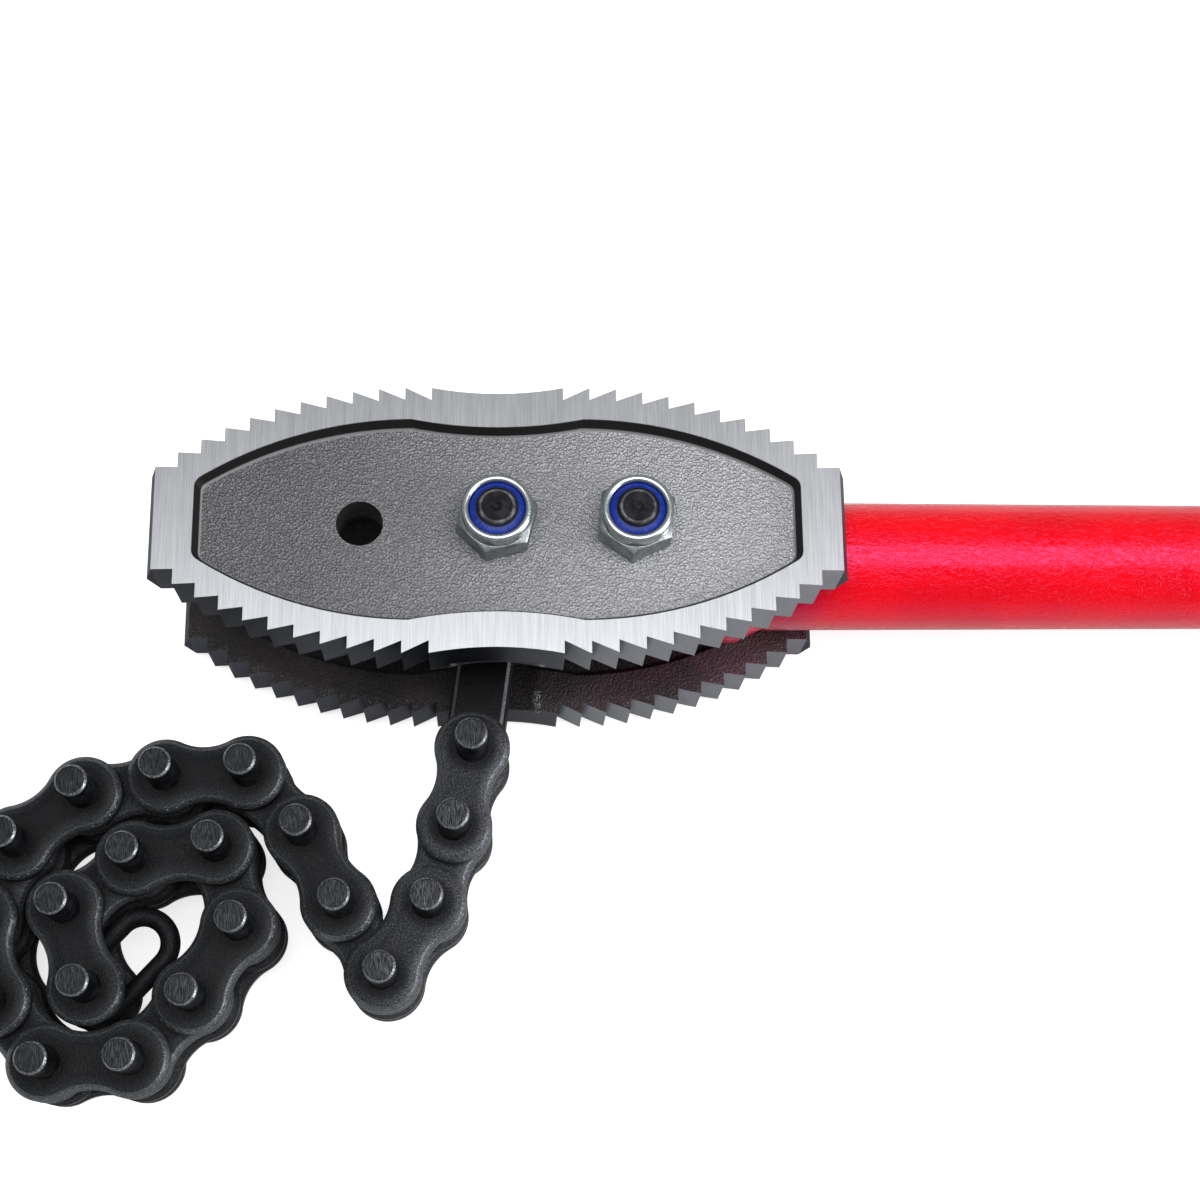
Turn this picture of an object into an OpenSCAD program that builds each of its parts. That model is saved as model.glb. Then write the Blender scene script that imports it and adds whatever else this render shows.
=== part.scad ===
// Double-ended chain pipe wrench: two toothed jaw plates bolted to a tapered bar handle,
// and a bush chain with long pins that swings on the centre bolt and ends in a loop.
// X runs along the handle, Z is up, and the centre bolt's head stands on the plane z = 0.

/* [Jaws] */
// Length of each jaw plate between its two end faces
jaw_length = 180; // [170:1:200]
// Thickness of each jaw plate over its rims
jaw_thickness = 13; // [11:0.5:17]
// Free space between the two jaw plates
jaw_gap = 37; // [35:0.5:42]
// Half width of the straight jaw ends
end_half_width = 14.4; // [12:0.1:16]
// Radius of the arc that the tooth tips lie on
edge_radius = 112.6; // [106:0.1:124]
// Distance of each arc's crown from the middle of the jaw
crown_offset = 22; // [16:0.5:26]
// Teeth on each quarter of a jaw
teeth_per_quarter = 12; // [9:1:12]
// Tooth spacing along the arc
tooth_pitch = 7.05; // [6:0.05:7.2]
// Tooth depth, square to the arc
tooth_depth = 3.45; // [2:0.05:4]
// Depth of the smooth saddle in the middle of each long edge
saddle_depth = 1.7; // [0.8:0.1:2.5]
// How far the forged end faces bulge at half thickness
end_bulge = 2.4; // [0.4:0.1:3.5]

/* [Jaw panels] */
// Width of the ground rim round the outer panel, from the tooth tips
outer_rim = 9.05; // [7:0.05:12]
// Width of the rim round the inner panel, from the tooth tips
inner_rim = 11.5; // [8:0.1:13]
// Width of the rim at the two jaw ends
end_rim = 10.3; // [7:0.1:14]
// Depth of the outer panel
outer_panel_depth = 3.5; // [2:0.1:4.5]
// Depth of the inner panel
inner_panel_depth = 2; // [1:0.1:3]
// Sideways run of the panels' sloping walls
panel_draft = 1.8; // [0.6:0.1:2.5]
// Corner rounding of the panels
panel_corner = 3; // [1:0.5:5]
// Diameter of the pads that stand round the bolt holes inside
pad_d = 30; // [26:0.5:34]
// Width of the chain slot across each inner rim
chain_slot_width = 24; // [18:0.5:28]
// Depth of the chain slot at its middle
chain_slot_depth = 1.6; // [0.5:0.1:1.9]

/* [Bolts and nuts] */
// Distance of the two outer holes from the centre hole
hole_spacing = 36.3; // [34:0.1:42]
// Bolt diameter
bolt_d = 12; // [10:0.5:13]
// Radial clearance of the bolts in the jaws and the handle
bolt_clearance = 0.25; // [0.1:0.05:0.5]
// Width across flats of bolt heads and nuts
hex_flats = 19; // [18:0.5:21]
// Height of the bolt heads
head_height = 7.5; // [5:0.1:9]
// Height of the turned-down corners of heads and nuts
hex_chamfer = 0.9; // [0.4:0.1:1.4]
// Chamfer and centre dimple of the bolts' ends
bolt_chamfer = 1.5; // [0.5:0.1:2]
// Height of the nuts' hexagon
nut_hex_height = 6.6; // [5:0.1:9]
// Height of the nuts with their rolled collar
nut_height = 10.4; // [9.6:0.1:13]
// Outer diameter of the nuts' collar
collar_d = 18.7; // [17.5:0.1:19]
// Opening of the collar's rolled lip
lip_d = 14.4; // [14:0.1:15.5]
// Height of the nylon locking rings
nylon_height = 2.4; // [1.5:0.1:2.6]
// How far the nylon climbs the bolts' chamfered ends
nylon_climb = 0.8; // [0.2:0.1:1]
// How far the bolts stand out above their nuts
bolt_proud = 0.4; // [0.1:0.1:2]
// Turn of the centre nut about its axis
centre_nut_turn = 15; // [0:1:59]
// Turn of the handle nut about its axis
handle_nut_turn = 25; // [0:1:59]

/* [Handle] */
// Distance from the centre bolt to the handle's far end
handle_reach = 760; // [600:5:900]
// Bar diameter where it leaves the jaws
bar_d = 35.2; // [30:0.1:35.5]
// Bar diameter at the far end
bar_end_d = 28; // [24:0.1:34]
// Height of the domed far end
dome_height = 4; // [2:0.5:8]
// Width of the forged palm between the jaws
palm_width = 42.4; // [38:0.1:48]
// Distance from the centre bolt to the palm's shoulder
shoulder_x = 74; // [68:0.5:84]
// Length of the shoulder's taper
shoulder_length = 7; // [5:0.5:14]

/* [Chain] */
// Distance between neighbouring chain pins
pitch = 22.5; // [22:0.1:26]
// Outer links in the chain, each with two pins
outer_links = 10; // [4:1:10]
// Diameter of the chain pins
pin_d = 8.8; // [7:0.1:9.4]
// Length of the chain pins
pin_length = 50; // [44:0.5:50]
// Chamfer on the ends of the pins
pin_chamfer = 0.7; // [0.2:0.1:1.2]
// Height of the figure-eight plates at the pins
plate_height = 20.8; // [18:0.1:21.2]
// Height of the plates at their waist
waist_height = 15.4; // [13:0.1:16.5]
// Thickness of the outer plates
outer_plate = 4; // [3:0.1:5]
// Bevel round the rims of all plates
plate_bevel = 1; // [0.3:0.1:1.4]
// Thickness of the inner plates
inner_plate = 3.6; // [3:0.1:4.5]
// Width of the inner links over their plates
inner_width = 15.4; // [13:0.1:15.4]
// Diameter of the bushes
bush_d = 13.4; // [12:0.1:15]
// Side clearance between neighbouring links
side_clearance = 0.3; // [0.2:0.05:0.4]
// Radial clearance of the pins in the bushes
pin_clearance = 0.05; // [0.02:0.01:0.1]
// Radial clearance of the pins in their own plates
seat_clearance = 0.02; // [0.01:0.01:0.05]

/* [Anchor and end loop] */
// Distance from the centre bolt to the first chain pin
anchor_reach = 53.5; // [52:0.5:60]
// Width of the anchor bar
anchor_width = 16; // [12:0.5:17]
// Outer diameter of the anchor's eye on the centre sleeve
anchor_eye_d = 27; // [25:0.5:28]
// Bevel along the top edges of the anchor bar
anchor_bevel = 1.6; // [0.5:0.1:3]
// Outer diameter of the spacer sleeve on the centre bolt
sleeve_d = 18; // [16:0.5:20]
// Bar diameter of the end loop
loop_bar = 5.5; // [4:0.1:6.5]
// Inner width of the end loop
loop_width = 9.8; // [9.6:0.1:11]
// Distance between the centres of the loop's two round ends
loop_length = 18; // [12:0.5:20]

/* [Lay of the chain] */
// Swing of the anchor from the cross direction
anchor_lean = 7.2; // [4:0.1:10]
// Swing of the first link from the anchor
first_turn = -5; // [-8:0.1:-3]
// Swing of the end loop from the last link
loop_turn = 120; // [110:1:130]

/* [Hidden] */
$fn = 96;
panel_facets = 150;
corner_facets = 24;
saddle_facets = 180;
bar_facets = 48;
chamfer_angle = 30;
cut = 1;
reach_through = 400;

// Heights of the stacked pieces above the ground
lower_outer_z = head_height - outer_panel_depth;
lower_inner_z = lower_outer_z + jaw_thickness;
upper_inner_z = lower_inner_z + jaw_gap;
upper_outer_z = upper_inner_z + jaw_thickness;
nut_seat_z = upper_outer_z - outer_panel_depth;
bar_z = lower_inner_z + jaw_gap / 2;
chain_z = lower_inner_z + side_clearance + inner_width / 2;
bolt_top_z = nut_seat_z + nut_height + bolt_proud;

// The tooth tips' arc and its rise round the jaw
arc_y = end_half_width - sqrt(edge_radius ^ 2 - (jaw_length / 2 - crown_offset) ^ 2);
first_angle = acos((jaw_length / 2 - crown_offset) / edge_radius);
tooth_angle = tooth_pitch / edge_radius * 180 / PI;
saddle_tip = tip(teeth_per_quarter - 1);
saddle_radius = (saddle_tip.x ^ 2 + saddle_depth ^ 2) / (2 * saddle_depth);
hole_r = bolt_d / 2 + bolt_clearance;

// Plate shape and chain widths
lobe_r = plate_height / 2;
waist_r = (waist_height ^ 2 / 4 + pitch ^ 2 / 4 - lobe_r ^ 2) / (plate_height - waist_height);
outer_inside = inner_width / 2 + side_clearance;
pin_r = pin_d / 2;

// Swing of each link from the one before it, from the second link to the last
link_turns = [
    -5, -15, -115, -5, 15, 50, 10, 25, 30, 35, 30, 50, 45, 10, 50, 80, 30, 70
];

function tip(i) = [
    crown_offset + edge_radius * cos(first_angle + i * tooth_angle),
    arc_y + edge_radius * sin(first_angle + i * tooth_angle)
];
function valley(i) = [
    tip(i).x,
    arc_y + sqrt((edge_radius - tooth_depth) ^ 2 - (tip(i).x - crown_offset) ^ 2)
];
function quarter() = [
    for (i = [0 : teeth_per_quarter - 1]) each i == 0 ? [tip(0)] : [valley(i), tip(i)]
];
function turned_back(points) = [for (i = [len(points) - 1 : -1 : 0]) points[i]];
function flipped(points, sx, sy) = [for (p = points) [sx * p.x, sy * p.y]];
function jaw_outline() = concat(
    quarter(),
    turned_back(flipped(quarter(), -1, 1)),
    flipped(quarter(), -1, -1),
    turned_back(flipped(quarter(), 1, -1))
);

// Direction of a link and place of a pin, counted from the anchor outwards
function heading(i) = i == 0
    ? -90 - anchor_lean + first_turn
    : heading(i - 1) + link_turns[i - 1];
function along(angle, distance) = distance * [cos(angle), sin(angle)];
function pin_at(i) = i == 0
    ? along(-90 - anchor_lean, anchor_reach)
    : pin_at(i - 1) + along(heading(i - 1), pitch);

// Outline of a panel, held a rim's width inside the tooth tips
module panel_outline(rim) {
    half_length = jaw_length / 2 - end_rim;
    radius = edge_radius - rim;
    dip_y = arc_y + sqrt(radius ^ 2 - crown_offset ^ 2);
    offset(r = panel_corner, $fn = corner_facets)
        offset(delta = -panel_corner)
            difference() {
                for (side = [0, 1])
                    mirror([side, 0])
                        intersection() {
                            translate([crown_offset, arc_y])
                                circle(radius, $fn = panel_facets);
                            translate([crown_offset, -arc_y])
                                circle(radius, $fn = panel_facets);
                            translate([-cut, -jaw_length / 2])
                                square([half_length + cut, jaw_length]);
                        }
                for (side = [-1, 1])
                    translate([0, side * (dip_y + edge_radius)])
                        circle(edge_radius, $fn = panel_facets);
            }
}

// Cutter for a panel with sloping walls, its mouth at z = 0 and its floor below
module panel_cutter(rim, depth) {
    half_length = jaw_length / 2 - end_rim;
    half_width = arc_y + edge_radius - rim;
    shrink = [1 - panel_draft / half_length, 1 - panel_draft / half_width];
    mirror([0, 0, 1])
        linear_extrude(depth, scale = shrink, slices = 1)
            panel_outline(rim);
}

// Forged jaw end, standing out to a ridge at half thickness
module end_ridge() {
    translate([jaw_length / 2, end_half_width, 0])
        rotate([90, 0, 0])
            linear_extrude(2 * end_half_width)
                polygon([
                    [-cut, 0],
                    [0, 0],
                    [end_bulge, jaw_thickness / 2],
                    [0, jaw_thickness],
                    [-cut, jaw_thickness]
                ]);
}

// One jaw plate, its inner face on z = 0 and its outer face on top
module jaw_plate() {
    slot_r = (chain_slot_width ^ 2 / 4 + chain_slot_depth ^ 2) / (2 * chain_slot_depth);
    difference() {
        union() {
            linear_extrude(jaw_thickness)
                polygon(jaw_outline());
            for (side = [0, 1])
                mirror([side, 0, 0])
                    end_ridge();
        }
        for (side = [-1, 1])
            translate([0, side * (saddle_tip.y - saddle_depth + saddle_radius), -cut])
                cylinder(h = jaw_thickness + 2 * cut, r = saddle_radius, $fn = saddle_facets);
        translate([0, 0, jaw_thickness])
            panel_cutter(outer_rim, outer_panel_depth);
        difference() {
            mirror([0, 0, 1])
                panel_cutter(inner_rim, inner_panel_depth);
            for (x = [-hole_spacing, 0, hole_spacing])
                translate([x, 0, -cut])
                    cylinder(h = jaw_thickness, d = pad_d);
        }
        translate([0, reach_through / 2, chain_slot_depth - slot_r])
            rotate([90, 0, 0])
                slot_beyond_pads(slot_r);
        for (x = [-hole_spacing, 0, hole_spacing])
            translate([x, 0, -cut])
                cylinder(h = jaw_thickness + 2 * cut, r = hole_r);
    }
}

// Hollow of the chain slot on both rims, left out where the middle pad stands
module slot_beyond_pads(slot_r) {
    rim_length = reach_through / 2 - pad_d / 2;
    for (z = [0, reach_through - rim_length])
        translate([0, 0, z])
            cylinder(h = rim_length, r = slot_r);
}

module upper_jaw() {
    color("silver")
        translate([0, 0, upper_inner_z])
            jaw_plate();
}

module lower_jaw() {
    color("dimgray")
        translate([0, 0, lower_inner_z])
            mirror([0, 0, 1])
                jaw_plate();
}

// Tapered bar with a domed end and a forged palm that fills the space between the jaws
module handle() {
    end_r = bar_end_d / 2;
    dome_r = (end_r ^ 2 + dome_height ^ 2) / (2 * dome_height);
    bar_length = handle_reach - dome_height - shoulder_x;
    shoulder_r = palm_width / 2;
    color("firebrick")
        difference() {
            translate([0, 0, bar_z])
                rotate([0, 90, 0]) {
                    translate([0, 0, shoulder_x])
                        cylinder(h = bar_length, r1 = bar_d / 2, r2 = end_r);
                    intersection() {
                        translate([0, 0, handle_reach - dome_r])
                            sphere(dome_r);
                        translate([0, 0, handle_reach - dome_height])
                            cylinder(h = 2 * dome_height, r = 2 * end_r);
                    }
                    intersection() {
                        union() {
                            cylinder(h = shoulder_x - shoulder_length, r = shoulder_r);
                            translate([0, 0, shoulder_x - shoulder_length])
                                cylinder(h = shoulder_length, r1 = shoulder_r, r2 = bar_d / 2);
                        }
                        palm_block();
                    }
                }
            translate([hole_spacing, 0, 0])
                cylinder(h = upper_outer_z, r = hole_r);
        }
}

// Flat-sided palm with a round front, drawn with the handle's length along Z
module palm_block() {
    rotate([0, -90, 0])
        translate([0, 0, -jaw_gap / 2]) {
            translate([hole_spacing, 0, 0])
                cylinder(h = jaw_gap, d = palm_width);
            translate([hole_spacing, -palm_width / 2, 0])
                cube([shoulder_x - hole_spacing, palm_width, jaw_gap]);
        }
}

// Hexagon with its corners turned down at one end
module chamfered_hex(height) {
    corner_r = hex_flats / sqrt(3);
    top_r = corner_r - hex_chamfer / tan(chamfer_angle);
    intersection() {
        cylinder(h = height, r = corner_r, $fn = 6);
        union() {
            cylinder(h = height - hex_chamfer, r = corner_r + cut);
            translate([0, 0, height - hex_chamfer])
                cylinder(h = hex_chamfer, r1 = corner_r, r2 = top_r);
        }
    }
}

// Hex bolt with its head on the ground and a chamfered, centre-drilled end
module bolt() {
    difference() {
        union() {
            translate([0, 0, head_height])
                mirror([0, 0, 1])
                    chamfered_hex(head_height);
            cylinder(h = bolt_top_z - bolt_chamfer, d = bolt_d);
            translate([0, 0, bolt_top_z - bolt_chamfer])
                cylinder(h = bolt_chamfer, r1 = bolt_d / 2, r2 = bolt_d / 2 - bolt_chamfer);
        }
        translate([0, 0, bolt_top_z - bolt_chamfer])
            cylinder(h = bolt_chamfer, r1 = 0, r2 = bolt_chamfer);
    }
}

module centre_bolt() {
    color("#242424")
        bolt();
}

module handle_bolt() {
    color("#242424")
        translate([hole_spacing, 0, 0])
            bolt();
}

// Locking nut: hexagon, collar with a rolled lip, and the groove that holds the nylon ring
module lock_nut() {
    lip = (collar_d - lip_d) / 4;
    groove_z = nut_height - lip - nylon_height;
    difference() {
        union() {
            chamfered_hex(nut_hex_height);
            cylinder(h = nut_height - lip, d = collar_d);
            translate([0, 0, nut_height - lip])
                rotate_extrude()
                    translate([collar_d / 2 - lip, 0])
                        circle(lip, $fn = bar_facets);
        }
        translate([0, 0, -cut])
            cylinder(h = nut_height + 2 * cut, r = bolt_d / 2 + seat_clearance);
        translate([0, 0, groove_z])
            cylinder(h = nut_height, d = lip_d);
    }
}

// Nylon ring that sits in the nut's groove and climbs the bolt's chamfer
module nylon_ring() {
    lip = (collar_d - lip_d) / 4;
    ring_r = lip_d / 2 - seat_clearance;
    top_z = nut_height - lip;
    chamfer_z = nut_height + bolt_proud - bolt_chamfer;
    bore_r = bolt_d / 2 + 2 * seat_clearance;
    difference() {
        union() {
            translate([0, 0, top_z - nylon_height])
                cylinder(h = nylon_height, r = ring_r);
            translate([0, 0, top_z])
                cylinder(h = nylon_climb, r1 = ring_r, r2 = ring_r - 2 * nylon_climb);
        }
        translate([0, 0, -cut])
            cylinder(h = chamfer_z + cut, r = bore_r);
        translate([0, 0, chamfer_z])
            cylinder(h = bolt_chamfer, r1 = bore_r, r2 = bore_r - bolt_chamfer);
    }
}

module centre_nut() {
    color("#b9c2b4")
        translate([0, 0, nut_seat_z])
            rotate(centre_nut_turn)
                lock_nut();
}

module handle_nut() {
    color("#b9c2b4")
        translate([hole_spacing, 0, nut_seat_z])
            rotate(handle_nut_turn)
                lock_nut();
}

module centre_nylon() {
    color("royalblue")
        translate([0, 0, nut_seat_z])
            nylon_ring();
}

module handle_nylon() {
    color("royalblue")
        translate([hole_spacing, 0, nut_seat_z])
            nylon_ring();
}

// Spacer tube that keeps the jaws apart round the centre bolt
module centre_sleeve() {
    color("#3a3a3a")
        translate([0, 0, lower_inner_z])
            difference() {
                cylinder(h = jaw_gap, d = sleeve_d);
                translate([0, 0, -cut])
                    cylinder(h = jaw_gap + 2 * cut, r = hole_r);
            }
}

// Cross-section of the anchor bar, bevelled along its top edges
module anchor_section() {
    half = anchor_width / 2;
    low = -inner_width / 2;
    high = inner_width / 2;
    polygon([
        [-half, low],
        [half, low],
        [half, high - anchor_bevel],
        [half - anchor_bevel, high],
        [-half + anchor_bevel, high],
        [-half, high - anchor_bevel]
    ]);
}

// Forged bar from the centre sleeve to the first chain pin, with an eye at each end
module anchor_link() {
    color("#2b2b2d")
        translate([0, 0, chain_z])
            rotate(-90 - anchor_lean)
                difference() {
                    union() {
                        rotate([90, 0, 90])
                            linear_extrude(anchor_reach)
                                anchor_section();
                        translate([0, 0, -inner_width / 2])
                            cylinder(h = inner_width, d = anchor_eye_d);
                        translate([anchor_reach, 0, -inner_width / 2])
                            cylinder(h = inner_width, d = anchor_width);
                    }
                    translate([0, 0, -inner_width])
                        cylinder(h = 2 * inner_width, r = sleeve_d / 2 + pin_clearance);
                    translate([anchor_reach, 0, -inner_width])
                        cylinder(h = 2 * inner_width, r = pin_r + pin_clearance);
                }
}

// Round drum whose rims step in by the bevel at both ends, or out where the step is negative
module bevelled_drum(radius, thickness, step) {
    translate([0, 0, plate_bevel])
        cylinder(h = thickness - 2 * plate_bevel, r = radius);
    cylinder(h = plate_bevel, r1 = radius - step, r2 = radius);
    translate([0, 0, thickness - plate_bevel])
        cylinder(h = plate_bevel, r1 = radius, r2 = radius - step);
}

// Figure-eight plate over two pins: round lobes, and a waist cut by drums that are tangent to both
module link_plate(thickness, bore_r) {
    waist_y = waist_height / 2 + waist_r;
    difference() {
        union() {
            for (x = [0, pitch])
                translate([x, 0, 0])
                    bevelled_drum(lobe_r, thickness, plate_bevel);
            difference() {
                linear_extrude(thickness)
                    polygon([[0, 0], [pitch / 2, -waist_y], [pitch, 0], [pitch / 2, waist_y]]);
                for (side = [-1, 1])
                    translate([pitch / 2, side * waist_y, 0])
                        bevelled_drum(waist_r, thickness, -plate_bevel);
            }
        }
        for (x = [0, pitch])
            translate([x, 0, -cut])
                cylinder(h = thickness + 2 * cut, r = bore_r);
    }
}

// Moves a link from its own frame to its place in the chain
module place_link(i) {
    translate(concat(pin_at(i), chain_z))
        rotate(heading(i))
            children();
}

// Upper and lower plate of one outer link
module outer_plates(k) {
    color("#2b2b2d")
        place_link(2 * k - 2)
            for (z = [outer_inside, -outer_inside - outer_plate])
                translate([0, 0, z])
                    link_plate(outer_plate, pin_r + seat_clearance);
}

// The two long pins of one outer link, chamfered at both ends
module link_pins(k) {
    straight = pin_length - 2 * pin_chamfer;
    color("#3c3c3e")
        place_link(2 * k - 2)
            for (x = [0, pitch])
                translate([x, 0, 0]) {
                    cylinder(h = straight, r = pin_r, center = true);
                    for (side = [0, 1])
                        mirror([0, 0, side])
                            translate([0, 0, straight / 2])
                                cylinder(h = pin_chamfer, r1 = pin_r, r2 = pin_r - pin_chamfer);
                }
}

// Inner link: two plates joined by the bushes that turn on the pins
module inner_link(k) {
    bore_r = pin_r + pin_clearance;
    color("#2b2b2d")
        place_link(2 * k - 1) {
            for (z = [inner_width / 2 - inner_plate, -inner_width / 2])
                translate([0, 0, z])
                    link_plate(inner_plate, bore_r);
            for (x = [0, pitch])
                translate([x, 0, 0])
                    difference() {
                        cylinder(h = inner_width - inner_plate, d = bush_d, center = true);
                        cylinder(h = inner_width, r = bore_r, center = true);
                    }
        }
}

// Oblong loop on the last pin, bent from round bar
module end_loop() {
    last = 2 * outer_links - 1;
    bend_r = (loop_width + loop_bar) / 2;
    color("#2b2b2d")
        translate(concat(pin_at(last), chain_z))
            rotate(heading(last - 1) + loop_turn) {
                for (end = [0, 1])
                    translate([end * loop_length, 0, 0])
                        rotate(90 + 180 * end)
                            rotate_extrude(angle = 180)
                                translate([bend_r, 0])
                                    circle(d = loop_bar, $fn = bar_facets);
                for (side = [-1, 1])
                    translate([0, side * bend_r, 0])
                        rotate([0, 90, 0])
                            cylinder(h = loop_length, d = loop_bar, $fn = bar_facets);
            }
}

upper_jaw();
lower_jaw();
handle();
centre_bolt();
handle_bolt();
centre_nut();
handle_nut();
centre_nylon();
handle_nylon();
centre_sleeve();
anchor_link();
end_loop();
for (k = [1 : outer_links]) {
    outer_plates(k);
    link_pins(k);
}
for (k = [1 : outer_links - 1]) {
    inner_link(k);
}
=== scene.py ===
"""Looks of a double-ended chain pipe wrench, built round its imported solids."""

import math

import bpy
from bpy.props import FloatProperty, FloatVectorProperty, IntProperty, PointerProperty
from mathutils import Matrix, Vector

bl_info = {
    "name": "Chain Pipe Wrench",
    "version": (1, 0, 0),
    "blender": (4, 5, 0),
    "location": "3D View > Sidebar > Wrench",
    "description": "Finishes the jaws, bolts, handle and chain of a chain pipe wrench",
    "category": "Object",
}

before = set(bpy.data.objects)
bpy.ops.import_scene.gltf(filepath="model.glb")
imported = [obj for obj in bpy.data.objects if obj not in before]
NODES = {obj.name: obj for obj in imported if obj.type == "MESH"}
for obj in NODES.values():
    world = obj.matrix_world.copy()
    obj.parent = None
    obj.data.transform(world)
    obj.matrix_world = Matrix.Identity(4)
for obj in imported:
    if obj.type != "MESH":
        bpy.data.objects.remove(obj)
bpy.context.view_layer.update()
MM = 0.001

# Mid height of the wrench, and levels of the jaws' faces from it, in metres
MID_HEIGHT = 0.0355
HALF_OUTER = 0.0315
HALF_FLOOR = 0.028
HALF_INNER = 0.0185
POCKET_DEPTH = 2.2 * MM

# Reach of the jaws' masks past those levels and past the slot
RIM_DROP = 0.17 * MM
FOOT_RISE = 0.90 * MM
FLOOR_MARGIN = 0.20 * MM
FLUSH_RISE = 0.225 * MM
SLOT_MARGIN = 0.15 * MM

# Outlines on the jaws in plan: the panels' arcs, the saddles, the slot's worn lips and the end faces
ARC_CENTRE = (0.022, 0.07535)
PANEL_EDGE_RADIUS = 0.1062
PANEL_HALF_LENGTH = 0.0815
BRINK_RADIUS = 0.1085
SADDLE_HALF = 0.0174
SLOT_HALF = 0.012
LIP_INWARD = 2.2 * MM
LIP_OUTWARD = 1.2 * MM
JAW_END = 0.0902

# Fades along the wrench, each from where it starts to where it ends: the panels' painted light, the paint
# mist, and the painted shade on the palm
PANEL_LIGHT = (-0.065, 0.072)
MIST_REACH = (0.0, 0.060)
PALM_FADE = (0.080, 0.093)

# Bolts, nuts and rings: heights from the floor and radii from a bolt's axis
BOLT_SPACING = 0.0363
BOLT_TOP = 0.07365
BOLT_RIM = (0.0041, 0.0048)
NUT_SHOULDER = 0.0703
RING_BORE = 0.0057

# Mid height of the chain, and levels from it: outer and inner plates' faces, their bevels and the pin ends
CHAIN_HEIGHT = 0.025
PLATE_FACES = (0.012, 0.0077)
BEVEL_REACH = 0.001
FACE_MARGIN = 0.05 * MM
PIN_CHAMFER = 0.0243
PIN_END = 0.0249

# Outline of a chain plate in its own frame: lobes round its pins and a waist cut by larger circles
HALF_PITCH = 0.01125
LOBE_RADIUS = 0.0104
WAIST_RADIUS = 0.014387
WAIST_CENTRE = 0.022087
CROWN_WIDTH = 0.005

# Where the chain turns greyer: from the coil towards the anchor, and from the jaws outwards
GREYER_ALONG = (-0.048, -0.018)
GREYER_ACROSS = (-0.052, -0.045)

# Scratches on the pins' ends, in lines per metre along each axis and their turn in radians
PIN_LINES = (3400.0, 420.0, 420.0)
PIN_LINES_TURN = (0.0, 0.0, 0.5)

# Stretch of the paint's wrinkles and sags along the bar, a sag's size in wrinkles, and its gloss
PEEL_STRETCH = (0.6, 1.0, 1.0)
SAG_STRETCH = (0.35, 1.0, 1.0)
SAG_SIZE = 8
GLOSS_TINT = (1.0, 0.33, 1.0, 1.0)

# Turn between neighbouring faces, in radians, at a plate's bevelled rim
RIM_TURN = (0.6, 1.0)

# Corners closer than this are joined, and faces flatter than this many degrees are merged before a bevel
JOIN_REACH = 0.002 * MM
FLAT_ANGLE = 0.6

# Stage: camera frame, floor, room light and soft boxes as place, aim and size
SENSOR_WIDTH = 36.0
CLIP_RANGE = (0.01, 50.0)
FLOOR_HALF = 6.0
FLOOR_DROP = 0.0002
ROOM_COLOUR = (0.97, 0.985, 1.0, 1.0)
OVERHEAD_BOX = ((0.15, -0.04, 1.1), (0.15, -0.04, 0.0), (1.3, 0.68))
SIDE_BOX = ((1.45, -0.42, 0.62), (0.0, -0.05, 0.03), (0.65, 0.65))

# Masks by which a jaw's finishes are laid over each other
JAW_ZONES = (
    "Rim", "Floor", "Wall", "Foot", "Hole", "Inside", "Pocket shade", "Brink", "Worn", "End", "Side", "Saddle shade",
)


def colour(name, words, default):
    """A colour that a user can set."""
    return FloatVectorProperty(
        name=name, description=words, subtype="COLOR", size=3, min=0.0, max=1.0, default=default
    )


def length(name, words, default):
    """A length that a user can set."""
    return FloatProperty(name=name, description=words, unit="LENGTH", min=0.0, default=default)


def number(name, words, default):
    """A plain number that a user can set."""
    return FloatProperty(name=name, description=words, default=default)


def strength(name, words, default):
    """The strength of a light, which a user can set."""
    return FloatProperty(name=name, description=words, min=0.0, default=default)


class JawSettings(bpy.types.PropertyGroup):
    """Finishes of the jaws"""

    ground: colour("Ground rim", "Bare steel of the ground rims", (0.385, 0.392, 0.41))
    panel: colour("Blasted panel", "Shot-blasted floor of the panels", (0.335, 0.335, 0.352))
    scale: colour("Forge scale", "Dark scale on the panels' walls", (0.007, 0.0065, 0.006))
    # Flank and shaded flank are lit and shaded copies of one cut face: painted light and shade, chosen by
    # where the flank lies along the wrench
    flank: colour("Tooth flank", "Cut faces of the teeth", (0.20, 0.21, 0.235))
    shade: colour("Shaded flank", "Cut faces that look away from the light", (0.014, 0.018, 0.034))
    inside: colour("Inner face", "Inner faces between the jaws", (0.031, 0.0265, 0.0265))
    overspray: colour("Overspray", "Paint mist by the handle", (0.064, 0.030, 0.040))
    edge: length("Edge break", "Width of the broken edges", 0.22 * MM)


class BoltSettings(bpy.types.PropertyGroup):
    """Finishes of the bolts, nuts and locking rings"""

    zinc: colour("Zinc", "Plating of the nuts", (0.50, 0.535, 0.54))
    tarnish: colour("Tarnish", "Duller patches of the plating", (0.17, 0.19, 0.188))
    nylon: colour("Nylon", "Locking rings", (0.002, 0.020, 0.21))
    black: colour("Black oxide", "Bolts", (0.006, 0.006, 0.007))
    worn: colour("Worn rim", "Bare metal on the bolts' rims", (0.45, 0.45, 0.46))
    edge: length("Edge break", "Width of the broken edges", 0.25 * MM)


class HandleSettings(bpy.types.PropertyGroup):
    """Finish of the handle"""

    paint: colour("Paint", "Red paint", (0.66, 0.0008, 0.0012))
    deep: colour("Deep paint", "Paint where it lies thick", (0.58, 0.0006, 0.0018))
    # palm: painted shade, a darker red where the handle lies between the jaws
    palm: colour("Palm shade", "Paint darkened by painted shade between the jaws", (0.40, 0.0005, 0.020))
    peel: length("Peel size", "Size of the paint's bumps", 1.3 * MM)
    edge: length("Edge break", "Width of the rounded edges", 1.6 * MM)


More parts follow.
